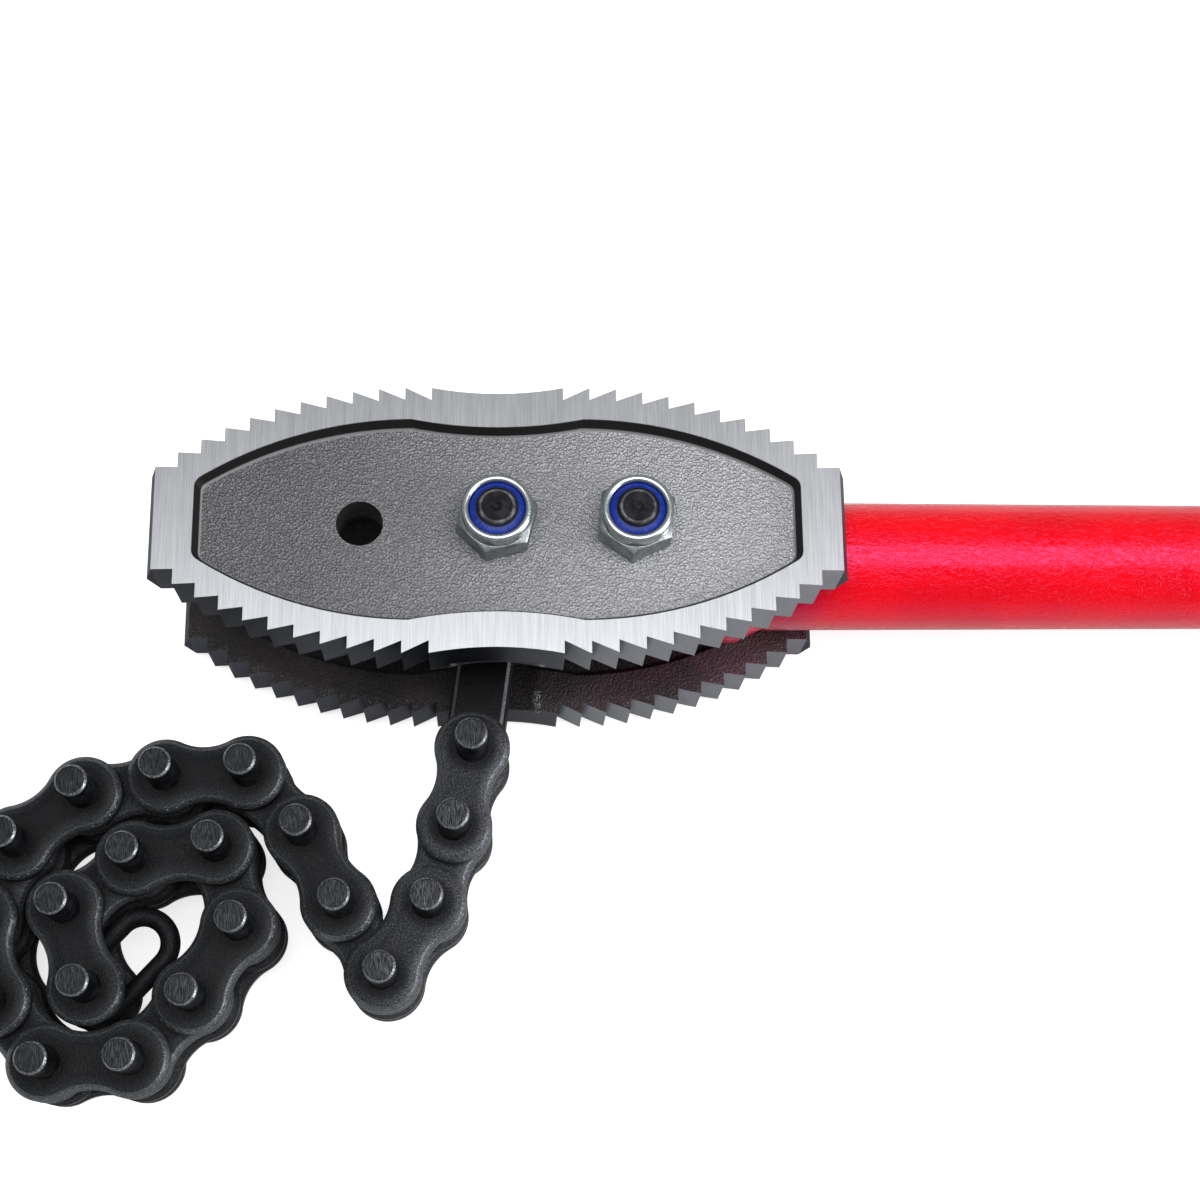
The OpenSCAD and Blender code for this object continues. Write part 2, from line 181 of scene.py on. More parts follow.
class ChainSettings(bpy.types.PropertyGroup):
    """Finishes of the chain, its anchor and its end loop"""

    black: colour("Black oxide", "Chain plates", (0.0034, 0.0036, 0.0043))
    grey: colour("Rubbed oxide", "Rubbed places on the plates", (0.020, 0.0212, 0.0240))
    worn: colour("Worn edge", "Bare metal along edges", (0.19, 0.20, 0.215))
    pin_end: colour("Pin end", "Rubbed ends of the pins", (0.036, 0.038, 0.041))
    dome: length("Plate dome", "Rounding of the plates' bevelled rims", 1.3 * MM)
    dome_steps: IntProperty(
        name="Dome steps", description="Steps across the rounding", min=1, max=6, default=4
    )
    crown: length("Plate crown", "Fall of the plates' faces towards their edges", 1.6 * MM)
    pin_edge: length("Pin edge", "Width of the pins' broken edges", 0.2 * MM)
    anchor_edge: length("Anchor edge", "Width of the anchor's broken edges", 0.6 * MM)


class StageSettings(bpy.types.PropertyGroup):
    """Camera, floor and lights"""

    focal: number("Focal length", "Camera lens in mm", 46.3167)
    slide: number("Side shift", "Sideways frame shift of the camera", 0.08956)
    lift: number("Vertical shift", "Upward frame shift of the camera", 0.23333)
    azimuth: number("Azimuth", "Camera turn in degrees", 1.1601)
    elevation: number("Elevation", "Camera height in degrees", 78.2558)
    roll: number("Roll", "Camera roll in degrees", -0.9794)
    place: FloatVectorProperty(
        name="Camera place", description="Camera position", size=3, unit="LENGTH",
        default=(0.00073, -0.174695, 0.442682),
    )
    floor: colour("Floor", "Floor colour", (0.58, 0.58, 0.58))
    key: strength("Key light", "Power of the overhead light in watts", 16.0)
    side: strength("Side light", "Power of the side light in watts", 15.0)
    glow: strength("Floor glow", "Own light of the floor in the picture", 1.25)
    sky: strength("Sky", "Strength of the room's light", 0.35)


class WrenchSettings(bpy.types.PropertyGroup):
    """All settings of the wrench"""

    jaw: PointerProperty(type=JawSettings)
    bolt: PointerProperty(type=BoltSettings)
    handle: PointerProperty(type=HandleSettings)
    chain: PointerProperty(type=ChainSettings)
    stage: PointerProperty(type=StageSettings)


class Net:
    """Short way of writing a node tree."""

    def __init__(self, tree):
        self.tree = tree

    def put(self, kind, inputs=None, **props):
        """Adds a node, sets its properties and fills its inputs with values or links."""
        made = self.tree.nodes.new(kind)
        for name, value in props.items():
            setattr(made, name, value)
        for name, value in (inputs or {}).items():
            self.fill(made.inputs[name], value)
        return made

    def fill(self, socket, value):
        """Links an output to a socket, or sets a plain value on it."""
        if isinstance(value, bpy.types.NodeSocket):
            self.tree.links.new(value, socket)
        elif value is not None:
            if socket.type == "RGBA" and len(value) == 3:
                value = (*value, 1.0)
            socket.default_value = value

    def sum(self, operation, first, second=None, third=None, clamp=False):
        """One step of arithmetic on values."""
        made = self.put("ShaderNodeMath", operation=operation, use_clamp=clamp)
        for socket, value in zip(made.inputs, (first, second, third)):
            self.fill(socket, value)
        return made.outputs[0]

    def chained(self, operation, first, *others):
        """The same step over any number of values."""
        total = first
        for value in others:
            total = self.sum(operation, total, value)
        return total

    def times(self, *values):
        """Product of values."""
        return self.chained("MULTIPLY", *values)

    def most(self, *values):
        """Largest of values."""
        return self.chained("MAXIMUM", *values)

    def rest(self, mask):
        """Where a mask is not."""
        return self.sum("SUBTRACT", 1.0, mask)

    def weighted(self, *terms, start=0.0):
        """Start value plus values that are each multiplied by a weight."""
        total = start
        for value, weight in terms:
            total = self.sum("MULTIPLY_ADD", value, weight, total)
        return total

    def minus(self, first, second):
        """Difference of two values."""
        return self.sum("SUBTRACT", first, second)

    def apart(self, first, second):
        """Distance between two values."""
        return self.sum("ABSOLUTE", self.minus(first, second))

    def reach(self, across, along):
        """Length of a flat vector."""
        return self.sum("SQRT", self.weighted((across, across), (along, along)))

    def ramp(self, value, low, high, start=0.0, end=1.0):
        """Smooth step from start to end as value goes from low to high."""
        made = self.put(
            "ShaderNodeMapRange",
            {"Value": value, "From Min": low, "From Max": high, "To Min": start, "To Max": end},
            interpolation_type="SMOOTHSTEP",
        )
        return made.outputs["Result"]

    def scaled(self, mask, start, end):
        """Smooth step from start to end as a mask goes from 0 to 1."""
        return self.ramp(mask, 0.0, 1.0, start, end)

    def over(self, value, edge, soft):
        """Mask of what lies over an edge that is soft metres wide."""
        return self.ramp(value, edge - 0.5 * soft, edge + 0.5 * soft)

    def under(self, value, edge, soft):
        """Mask of what lies under an edge that is soft metres wide."""
        return self.ramp(value, edge + 0.5 * soft, edge - 0.5 * soft)

    def mix(self, share, first, second):
        """Mix of two colours."""
        made = self.put("ShaderNodeMix", data_type="RGBA")
        self.fill(made.inputs["Factor"], share)
        self.fill(made.inputs["A"], first)
        self.fill(made.inputs["B"], second)
        return made.outputs["Result"]

    def layered(self, base, *layers):
        """A colour with masked colours laid over it in turn."""
        shade = base
        for mask, layer in layers:
            shade = self.mix(mask, shade, layer)
        return shade

    def point(self):
        """Object coordinates."""
        return self.put("ShaderNodeTexCoord").outputs["Object"]

    def parts(self, vector):
        """The three parts of a vector."""
        return self.put("ShaderNodeSeparateXYZ", {"Vector": vector}).outputs

    def vector(self, x, y, z):
        """A vector from its three parts."""
        return self.put("ShaderNodeCombineXYZ", {"X": x, "Y": y, "Z": z}).outputs["Vector"]

    def vector_sum(self, operation, first, second):
        """One step of arithmetic on vectors."""
        return self.put("ShaderNodeVectorMath", {0: first, 1: second}, operation=operation).outputs["Vector"]

    def stretched(self, vector, scale, turn=(0.0, 0.0, 0.0)):
        """Coordinates turned and stretched along the axes."""
        made = self.put("ShaderNodeMapping", {"Vector": vector, "Scale": scale, "Rotation": turn})
        return made.outputs["Vector"]

    def noise(self, vector, scale=1.0, detail=2.0, rough=0.5, warp=0.0):
        """Cloudy noise from 0 to 1."""
        made = self.put(
            "ShaderNodeTexNoise",
            {"Vector": vector, "Scale": scale, "Detail": detail, "Roughness": rough, "Distortion": warp},
        )
        return made.outputs[0]

    def bumped(self, height, depth):
        """Normal from a height field that is depth metres from low to high."""
        made = self.put("ShaderNodeBump", {"Height": height, "Strength": 1.0, "Distance": depth})
        return made.outputs["Normal"]


def new_group(name, ins, outs, tree="ShaderNodeTree"):
    """Empty node group with named sockets; returns it with its net, inputs and outputs."""
    group = bpy.data.node_groups.new(name, tree)
    for label, kind, default in ins:
        socket = group.interface.new_socket(label, in_out="INPUT", socket_type=kind)
        if default is not None:
            socket.default_value = default
    for label, kind in outs:
        group.interface.new_socket(label, in_out="OUTPUT", socket_type=kind)
    net = Net(group)
    return group, net, net.put("NodeGroupInput").outputs, net.put("NodeGroupOutput").inputs


def values(*labels):
    """Sockets of a group that give one value each."""
    return [(label, "NodeSocketFloat") for label in labels]


def group_once(name, build):
    """The group of that name, built on first use."""
    return bpy.data.node_groups.get(name) or build(name)


def grain_group(name):
    """Cast or blasted grain: a height and a light-dark mask at the size given, and a slow cloud."""
    group, net, take, give = new_group(
        name,
        [("Grain", "NodeSocketFloat", 0.5 * MM), ("Seed", "NodeSocketFloat", 0.0)],
        values("Height", "Mask", "Cloud"),
    )
    shift = net.vector(take["Seed"], take["Seed"], take["Seed"])
    place = net.vector_sum("ADD", net.point(), shift)
    scale = net.sum("DIVIDE", 1.0, take["Grain"])
    lump_scale, cell_scale, cloud_scale = (net.times(scale, share) for share in (0.35, 0.75, 0.02))
    fine = net.noise(place, scale, detail=3.0, rough=0.55)
    lumps = net.noise(place, lump_scale)
    cells = net.put("ShaderNodeTexVoronoi", {"Vector": place, "Scale": cell_scale})
    pebble = net.ramp(cells.outputs["Distance"], 0.75, 0.1)
    height = net.weighted((fine, 0.45), (lumps, 0.25), (pebble, 0.30))
    net.fill(give["Height"], height)
    net.fill(give["Mask"], net.ramp(height, 0.36, 0.68))
    net.fill(give["Cloud"], net.noise(place, cloud_scale, detail=3.0, rough=0.55))
    return group


def brush_group(name):
    """Grinding lines along Y: fine and broad streaks."""
    group, net, take, give = new_group(
        name,
        [("Line", "NodeSocketFloat", 0.20 * MM), ("Run", "NodeSocketFloat", 16 * MM)],
        values("Fine", "Broad"),
    )
    across = net.sum("DIVIDE", 1.0, take["Line"])
    along = net.sum("DIVIDE", 1.0, take["Run"])
    place = net.vector_sum("MULTIPLY", net.point(), net.vector(across, along, along))
    net.fill(give["Fine"], net.noise(place, detail=3.0, rough=0.6))
    net.fill(give["Broad"], net.noise(place, 0.17))
    return group


def rub_group(name):
    """Rubbed and oily patches: a slow mask, a fine scratch mask and the scratches' height."""
    group, net, take, give = new_group(
        name,
        [("Patch", "NodeSocketFloat", 9 * MM), ("Scratch", "NodeSocketFloat", 0.45 * MM)],
        values("Slow", "Fine", "Height"),
    )
    place = net.point()
    slow = net.noise(place, net.sum("DIVIDE", 1.0, take["Patch"]), detail=4.0, rough=0.6)
    fine = net.noise(place, net.sum("DIVIDE", 1.0, take["Scratch"]), detail=3.0, rough=0.6)
    net.fill(give["Slow"], net.ramp(slow, 0.38, 0.68))
    net.fill(give["Fine"], net.ramp(fine, 0.42, 0.70))
    net.fill(give["Height"], fine)
    return group


def zones_group(name):
    """Masks of a jaw's faces, told apart by their level and their place in plan."""
    group, net, _, give = new_group(name, [], values(*JAW_ZONES))
    x, y, z = net.parts(net.point())
    far_x = net.sum("ABSOLUTE", x)
    far_y = net.sum("ABSOLUTE", y)
    level = net.apart(z, MID_HEIGHT)
    radius = net.reach(net.minus(far_x, ARC_CENTRE[0]), net.sum("ADD", far_y, ARC_CENTRE[1]))
    within_arcs = net.sum("LESS_THAN", radius, PANEL_EDGE_RADIUS)
    within = net.times(within_arcs, net.sum("LESS_THAN", far_x, PANEL_HALF_LENGTH))
    rim = net.over(level, HALF_OUTER - RIM_DROP, soft=0.10 * MM)
    foot = net.under(level, HALF_FLOOR + FOOT_RISE, soft=0.40 * MM)
    low = net.under(level, HALF_FLOOR + FLOOR_MARGIN, soft=0.30 * MM)
    floor = net.over(level, HALF_FLOOR - FLOOR_MARGIN, soft=0.20 * MM)
    inner = net.under(level, HALF_INNER + POCKET_DEPTH, soft=0.20 * MM)
    flush = net.under(level, HALF_INNER + FLUSH_RISE, soft=0.15 * MM)
    slot = net.times(inner, net.under(far_x, SLOT_HALF + SLOT_MARGIN, soft=0.30 * MM))
    lip_in = net.ramp(far_x, SLOT_HALF - LIP_INWARD, SLOT_HALF)
    lip_out = net.ramp(far_x, SLOT_HALF + LIP_OUTWARD, SLOT_HALF)
    front = net.under(y, 0.0, soft=10 * MM)
    # Side: painted light and shade on the front flanks, lighter towards +X and darker towards -X, an even
    # mid grey on the back
    lit = net.minus(net.over(x, 0.0, soft=60 * MM), 0.5)
    saddle = net.under(far_x, SADDLE_HALF, soft=0.40 * MM)
    masks = {
        "Rim": rim,
        "Floor": net.times(within, low, floor),
        "Wall": net.times(within, net.rest(rim), net.rest(low)),
        "Foot": net.times(within, foot, net.rest(low)),
        "Hole": net.times(within, net.rest(floor)),
        "Inside": net.most(net.times(within, inner), flush, slot),
        "Pocket shade": net.rest(flush),
        "Brink": net.times(flush, net.over(radius, BRINK_RADIUS, soft=3 * MM)),
        "Worn": net.times(lip_in, lip_out, inner, net.rest(within)),
        "End": net.over(far_x, JAW_END, soft=0.20 * MM),
        "Side": net.weighted((front, lit), start=0.5),
        # painted shade in the saddles, strongest on the front
        "Saddle shade": net.times(saddle, net.scaled(front, 0.3, 1.0)),
    }
    for label, mask in masks.items():
        net.fill(give[label], mask)
    return group


def new_material(name):
    """Empty material; returns it with its net and its surface shader."""
    made = bpy.data.materials.new(name)
    made.use_nodes = True
    net = Net(made.node_tree)
    return made, net, made.node_tree.nodes["Principled BSDF"]


def place_group(net, name, build, **inputs):
    """Puts a shared group into a material with its own values."""
    made = net.put("ShaderNodeGroup", node_tree=group_once(name, build))
    for label, value in inputs.items():
        net.fill(made.inputs[label], value)
    return made.outputs


def rubbed(net, patch, scratch):
    """Rubbed patches and scratches of the sizes given."""
    return place_group(net, "Rubbed patches", rub_group, Patch=patch, Scratch=scratch)


def grained(net, grain, seed):
    """Cast grain of the size given."""
    return place_group(net, "Cast grain", grain_group, Grain=grain, Seed=seed)


def tinted(shade, factor):
    """A colour made darker or lighter."""
    return [min(1.0, part * factor) for part in shade]


def finish_surface(net, shader, **inputs):
    """Fills the shader's sockets by name, with underscores for spaces."""
    for label, value in inputs.items():
        net.fill(shader.inputs[label.replace("_", " ")], value)


def jaw_floor_shade(net, s, grain, x):
    """Blasted panel floor with painted light: dim at the free end and bright towards the handle."""
    dim = net.mix(grain["Mask"], tinted(s.panel, 0.27), tinted(s.panel, 0.50))
    bright = net.mix(grain["Mask"], tinted(s.panel, 0.78), tinted(s.panel, 1.24))
    return net.mix(net.ramp(x, *PANEL_LIGHT), dim, bright)


def jaw_flank_shade(net, s, zone, rub):
    """Cut flanks with painted light and shade: navy where they look away from the light, rubbed in patches
    and with painted shade in the saddles.
    """
    plain = net.mix(zone["Side"], s.shade, s.flank)
    worn = net.mix(zone["Side"], tinted(s.shade, 2.2), tinted(s.flank, 0.8))
    # painted shade: the saddles take a darker copy of the shaded flank colour
    return net.layered(plain, (net.times(rub["Slow"], 0.5), worn), (zone["Saddle shade"], tinted(s.shade, 0.7)))


def jaw_inside_shade(net, s, zone, rub, grain, x):
    """Dull inner faces with paint mist by the handle, scuffs, stains, a worn brink and painted shade in the
    pockets.
    """
    mist = net.times(net.ramp(x, *MIST_REACH), net.ramp(grain["Cloud"], 0.25, 0.60))
    scuff = net.times(rub["Fine"], rub["Slow"], 0.6)
    stain = net.ramp(grain["Cloud"], 0.62, 0.40, 0.0, 0.6)
    brink = net.times(zone["Brink"], net.ramp(rub["Fine"], 0.55, 1.0, 0.0, 0.45))
    return net.layered(
        s.inside,
        (mist, s.overspray),
        (scuff, tinted(s.inside, 3.0)),
        (stain, tinted(s.inside, 0.45)),
        (brink, tinted(s.ground, 0.6)),
        # painted shade: the recessed pockets darkened
        (net.times(zone["Pocket shade"], 0.6), tinted(s.inside, 0.25)),
    )


def jaw_material(s):
    """Ground rims, blasted panels, dark scale on the walls and cut tooth flanks."""
    made, net, shader = new_material("jaw_forged_steel")
    zone = place_group(net, "Jaw zones", zones_group)
    line = place_group(net, "Grinding lines", brush_group)
    grain = grained(net, 0.54 * MM, 0.3)
    rub = rubbed(net, 6 * MM, 0.4 * MM)
    x = net.parts(net.point())[0]
    streak = net.weighted((line["Fine"], 0.8), (line["Broad"], 0.2))
    shade = net.layered(
        jaw_flank_shade(net, s, zone, rub),
        (zone["Rim"], net.mix(net.ramp(streak, 0.34, 0.66), tinted(s.ground, 0.76), s.ground)),
        (zone["Floor"], jaw_floor_shade(net, s, grain, x)),
        (zone["Wall"], s.scale),
        (net.times(zone["Foot"], 0.7), tinted(s.panel, 0.9)),
        (zone["Hole"], s.inside),
        (zone["Inside"], jaw_inside_shade(net, s, zone, rub, grain, x)),
        (net.times(zone["Worn"], net.ramp(rub["Fine"], 0.1, 0.8)), tinted(s.ground, 0.8)),
        # painted shade: the end faces take the shaded flank colour
        (zone["End"], s.shade),
    )
    dull = net.most(zone["Wall"], zone["Hole"], zone["Inside"], zone["End"])
    blasted = net.times(net.most(zone["Floor"], zone["Inside"]), grain["Height"])
    height = net.weighted((net.times(line["Fine"], zone["Rim"]), 0.02), start=blasted)
    finish_surface(
        net, shader, Base_Color=shade, Specular_IOR_Level=0.3,
        Metallic=net.weighted((zone["Floor"], -0.35), (dull, -0.8), start=1.0),
        Roughness=net.weighted((streak, 0.10), (zone["Floor"], 0.04), (dull, 0.15), start=0.34),
        Normal=net.bumped(height, 0.70 * MM),
    )
    return made


def edge_material(name, bare, share):
    """Broken edges rubbed to bare metal, which is darker by share where the finish still holds."""
    made, net, shader = new_material(name)
    rub = rubbed(net, 5 * MM, 0.6 * MM)
    shade = net.mix(net.times(rub["Slow"], rub["Fine"]), tinted(bare, share), bare)
    rough = net.scaled(rub["Fine"], 0.42, 0.30)
    finish_surface(net, shader, Base_Color=shade, Metallic=0.85, Roughness=rough)
    return made


def zinc_material(s):
    """Bright zinc with duller greenish patches, mostly on the nuts' flats."""
    made, net, shader = new_material("nut_zinc")
    rub = rubbed(net, 3.5 * MM, 0.5 * MM)
    low = net.under(net.parts(net.point())[2], NUT_SHOULDER, soft=1.4 * MM)
    patch = net.weighted((rub["Slow"], 0.45), (low, 0.5))
    scratch = net.times(rub["Fine"], low, 0.35)
    finish_surface(
        net, shader, Metallic=1.0, Roughness=net.weighted((patch, 0.20), start=0.20),
        Base_Color=net.layered(s.zinc, (patch, s.tarnish), (scratch, tinted(s.tarnish, 0.4))),
        Normal=net.bumped(rub["Height"], 0.02 * MM),
    )
    return made


def bolt_distance(net):
    """Distance from the nearer bolt's axis."""
    x, y, _ = net.parts(net.point())
    return net.sum("MINIMUM", *(net.reach(net.minus(x, centre), y) for centre in (0.0, BOLT_SPACING)))


def nylon_material(s):
    """Blue nylon with faint mould cloud, and painted shade that darkens it in its bore."""
    made, net, shader = new_material("ring_nylon")
    rub = rubbed(net, 2.5 * MM, 0.3 * MM)
    cloud = net.mix(rub["Slow"], s.nylon, tinted(s.nylon, 0.7))
    # painted shade: near black inside the bore radius, round the bolt
    face = net.over(bolt_distance(net), RING_BORE, soft=1 * MM)
    finish_surface(
        net, shader, Base_Color=net.mix(face, tinted(s.nylon, 0.08), cloud), Specular_IOR_Level=0.2,
        Roughness=net.scaled(rub["Fine"], 0.34, 0.46), Normal=net.bumped(rub["Height"], 0.02 * MM),
    )
    return made


def bolt_material(s):
    """Black oxide, dark in the dimple and rubbed bare along the end's rim."""
    made, net, shader = new_material("bolt_black")
    rub = rubbed(net, 3 * MM, 0.4 * MM)
    radius = bolt_distance(net)
    top = net.over(net.parts(net.point())[2], BOLT_TOP, soft=0.5 * MM)
    rim_in = net.over(radius, BOLT_RIM[0], soft=0.4 * MM)
    rim_out = net.under(radius, BOLT_RIM[1], soft=0.3 * MM)
    ring = net.times(rim_in, rim_out, top)
    bare = net.times(ring, net.ramp(rub["Slow"], 0.1, 0.9, 0.10, 0.30))
    finish_surface(
        net, shader, Metallic=net.times(ring, 0.8), Specular_IOR_Level=0.06,
        Base_Color=net.layered(s.black, (rub["Slow"], tinted(s.black, 3.0)), (bare, s.worn)),
        Roughness=net.scaled(rub["Fine"], 0.48, 0.36), Normal=net.bumped(rub["Height"], 0.03 * MM),
    )
    return made


def paint_material(s):
    """Thick red paint with a wrinkled, glossy skin, with painted shade darkening the palm between the jaws.
    """
    made, net, shader = new_material("handle_paint")
    place = net.point()
    peel = net.noise(net.stretched(place, PEEL_STRETCH), 1.0 / s.peel, detail=2.5, warp=1.0)
    slow = net.noise(net.stretched(place, SAG_STRETCH), 1.0 / (SAG_SIZE * s.peel), detail=3.0)
    fold = net.ramp(net.apart(peel, 0.5), 0.0, 0.12)
    height = net.weighted((fold, 0.40), (slow, 0.35), (peel, 0.25))
    # painted shade on the palm between the jaws, fading out along the bar
    palm = net.ramp(net.parts(place)[0], *PALM_FADE, 0.85, 0.0)
    finish_surface(
        net, shader, Specular_IOR_Level=0.42, Specular_Tint=GLOSS_TINT,
        Base_Color=net.layered(s.deep, (net.ramp(slow, 0.35, 0.65), s.paint), (palm, s.palm)),
        Roughness=net.scaled(fold, 0.26, 0.09), Normal=net.bumped(height, 0.13 * MM),
    )
    return made


def plate_inset(net):
    """Distances inside a chain plate's outline and from its nearer pin, by the place stored on the plate."""
    stored = net.put("ShaderNodeAttribute", attribute_name="lay").outputs["Vector"]
    along, across = (net.sum("ABSOLUTE", part) for part in net.parts(stored)[:2])
    from_pin = net.reach(net.minus(along, HALF_PITCH), across)
    lobe = net.minus(LOBE_RADIUS, from_pin)
    waist = net.minus(net.reach(along, net.minus(across, WAIST_CENTRE)), WAIST_RADIUS)
    line = net.weighted((along, 1.0 / HALF_PITCH), (across, 1.0 / WAIST_CENTRE))
    middle = net.sum("LESS_THAN", line, 1.0)
    return net.weighted((middle, net.minus(waist, lobe)), start=lobe), from_pin


def plate_rims(net, z):
    """Mask of the bevelled rims of the outer and inner plates."""
    far = net.apart(z, CHAIN_HEIGHT)
    rims = []
    for face in PLATE_FACES:
        foot = face - BEVEL_REACH
        rims.append(net.times(net.ramp(far, foot, foot + 0.2 * MM), net.ramp(far, face, face - 0.1 * MM)))
    return net.most(*rims)


def chain_material(s):
    """Black oxide on crowned plates, darker in the coil and greyer near the jaws, with painted shade round
    the pins.
    """
    made, net, shader = new_material("chain_black")
    rub = rubbed(net, 8 * MM, 0.42 * MM)
    grain = grained(net, 0.35 * MM, 1.7)
    speck = net.ramp(rub["Height"], 0.42, 0.66)
    x, y, z = net.parts(net.point())
    greyer = net.times(net.ramp(x, *GREYER_ALONG), net.ramp(y, *GREYER_ACROSS, 1.0, 0.0))
    grey = net.mix(greyer, tinted(s.grey, 0.4), tinted(s.grey, 2.3))
    inset, from_pin = plate_inset(net)
    slope = net.sum("SUBTRACT", 1.0, net.sum("DIVIDE", inset, CROWN_WIDTH), clamp=True)
    shine = net.times(net.ramp(slope, 0.15, 0.75), net.scaled(greyer, 0.3, 0.8))
    rim = plate_rims(net, z)
    shade = net.layered(
        s.black,
        (net.scaled(speck, 0.12, 0.9), grey),
        # painted shade: plates darkened round each pin
        (net.ramp(from_pin, 8 * MM, 5.5 * MM, 0.0, 0.7), s.black),
        (net.times(shine, net.scaled(speck, 0.35, 1.0)), tinted(s.worn, 0.50)),
        (net.times(rim, net.scaled(speck, 0.45, 1.0)), tinted(s.worn, 0.9)),
    )
    height = net.weighted((grain["Height"], 0.20 * MM), (net.times(slope, slope), -s.crown))
    finish_surface(
        net, shader, Base_Color=shade, Metallic=net.times(net.most(rim, shine), 0.8),
        Roughness=net.scaled(rub["Slow"], 0.40, 0.32), Specular_IOR_Level=0.08,
        Normal=net.bumped(height, 1.0),
    )
    return made


def pin_material(s):
    """Black pins whose ends are rubbed grey, with cross scratches and a bare chamfer."""
    made, net, shader = new_material("pin_steel")
    rub = rubbed(net, 4 * MM, 0.5 * MM)
    place = net.point()
    x, _, z = net.parts(place)
    far = net.apart(z, CHAIN_HEIGHT)
    end = net.over(far, PIN_END, soft=0.1 * MM)
    bare = net.times(net.over(far, PIN_CHAMFER, soft=0.2 * MM), net.rest(end))
    lines = net.noise(net.stretched(place, PIN_LINES, PIN_LINES_TURN), detail=3.0, rough=0.6)
    scratch = net.ramp(lines, 0.36, 0.66)
    face = net.layered(
        tinted(s.pin_end, 0.16),
        (scratch, tinted(s.pin_end, 1.05)),
        (net.times(rub["Slow"], 0.6), tinted(s.pin_end, 0.4)),
        (net.ramp(x, *GREYER_ALONG, 0.45, 0.0), tinted(s.pin_end, 0.25)),
    )
    shade = net.layered(
        s.black,
        (rub["Slow"], s.grey),
        (end, face),
        (net.times(bare, net.ramp(rub["Fine"], 0.0, 0.7, 0.35, 1.0)), tinted(s.worn, 1.8)),
    )
    height = net.weighted((net.times(scratch, end), 0.5), (rub["Height"], 0.5))
    finish_surface(
        net, shader, Base_Color=shade, Metallic=net.weighted((net.most(end, bare), 0.55), start=0.35),
        Roughness=net.scaled(scratch, 0.46, 0.34), Specular_IOR_Level=0.06,
        Normal=net.bumped(height, 0.04 * MM),
    )
    return made


def shape_group(name, *ins):
    """Empty geometry group; returns what new_group does."""
    shape = ("Geometry", "NodeSocketGeometry")
    return new_group(name, [(*shape, None), *ins], [shape], "GeometryNodeTree")


def store_value(net, shape, label, value, **props):
    """Geometry with a value stored on it."""
    inputs = {"Geometry": shape, "Name": label, "Value": value}
    return net.put("GeometryNodeStoreNamedAttribute", inputs, **props).outputs["Geometry"]


def rim_group(name):
    """Marks the bevelled rims of a plate's two outer faces as edges to be domed."""
    group, net, take, give = shape_group(name, ("Face", "NodeSocketFloat", 0.0))
    turn = net.put("GeometryNodeInputMeshEdgeAngle").outputs["Unsigned Angle"]
    z = net.parts(net.put("GeometryNodeInputPosition").outputs["Position"])[2]
    bent = net.sum("GREATER_THAN", turn, RIM_TURN[0])
    blunt = net.times(bent, net.sum("LESS_THAN", turn, RIM_TURN[1]))
    mark = net.times(blunt, net.sum("GREATER_THAN", net.apart(z, CHAIN_HEIGHT), take["Face"]))
    marked = store_value(
        net, take["Geometry"], "bevel_weight_edge", mark, data_type="FLOAT", domain="EDGE"
    )
    sharp = {"Geometry": marked, "Selection": net.minus(bent, mark), "Shade Smooth": False}
    shaded = net.put("GeometryNodeSetShadeSmooth", sharp, domain="EDGE")
    net.fill(give["Geometry"], shaded.outputs["Geometry"])
    return group


def lay_group(name):
    """Stores each point's place in the frame of its own link."""
    group, net, take, give = shape_group(
        name, ("Middle", "NodeSocketVector", None), ("Turn", "NodeSocketFloat", 0.0)
    )
    spot = net.put("GeometryNodeInputPosition").outputs["Position"]
    away = net.vector_sum("SUBTRACT", spot, take["Middle"])
    back = net.times(take["Turn"], -1.0)
    turned = net.put("ShaderNodeVectorRotate", {"Vector": away, "Angle": back}, rotation_type="Z_AXIS")
    laid = store_value(
        net, take["Geometry"], "lay", turned.outputs["Vector"], data_type="FLOAT_VECTOR", domain="POINT"
    )
    net.fill(give["Geometry"], laid)
    return group


def lie_of(node):
    """Middle and heading of a flat link, from the spread of its corners."""
    spots = [corner.co for corner in node.data.vertices]
    middle = [0.5 * (min(part) + max(part)) for part in zip(*spots)]
    xx = sum((spot.x - middle[0]) ** 2 for spot in spots)
    yy = sum((spot.y - middle[1]) ** 2 for spot in spots)
    xy = sum((spot.x - middle[0]) * (spot.y - middle[1]) for spot in spots)
    return middle, 0.5 * math.atan2(2 * xy, xx - yy)


def add_nodes(node, name, build, **inputs):
    """Adds a nodes modifier with its own values."""
    made = node.modifiers.new(name, "NODES")
    made.node_group = group_once(name, build)
    for label, value in inputs.items():
        made[made.node_group.interface.items_tree[label].identifier] = value


def join_faces(node):
    """Joins a node's corners and merges its flat neighbours, so that its bevels run evenly."""
    weld = node.modifiers.new("Joined corners", "WELD")
    weld.merge_threshold = JOIN_REACH
    flat = node.modifiers.new("Flat faces", "DECIMATE")
    flat.decimate_type = "DISSOLVE"
    flat.angle_limit = math.radians(FLAT_ANGLE)


def break_edges(node, width, steps, limit, angle):
    """Bevels a node's edges, in its second finish where it has one."""
    bevel = node.modifiers.new("Broken edges", "BEVEL")
    bevel.width = width
    bevel.segments = steps
    bevel.limit_method = limit
    bevel.angle_limit = math.radians(angle)
    bevel.use_clamp_overlap = True
    bevel.miter_outer = "MITER_ARC"
    bevel.harden_normals = False
    if len(node.data.materials) > 1:
        bevel.material = 1


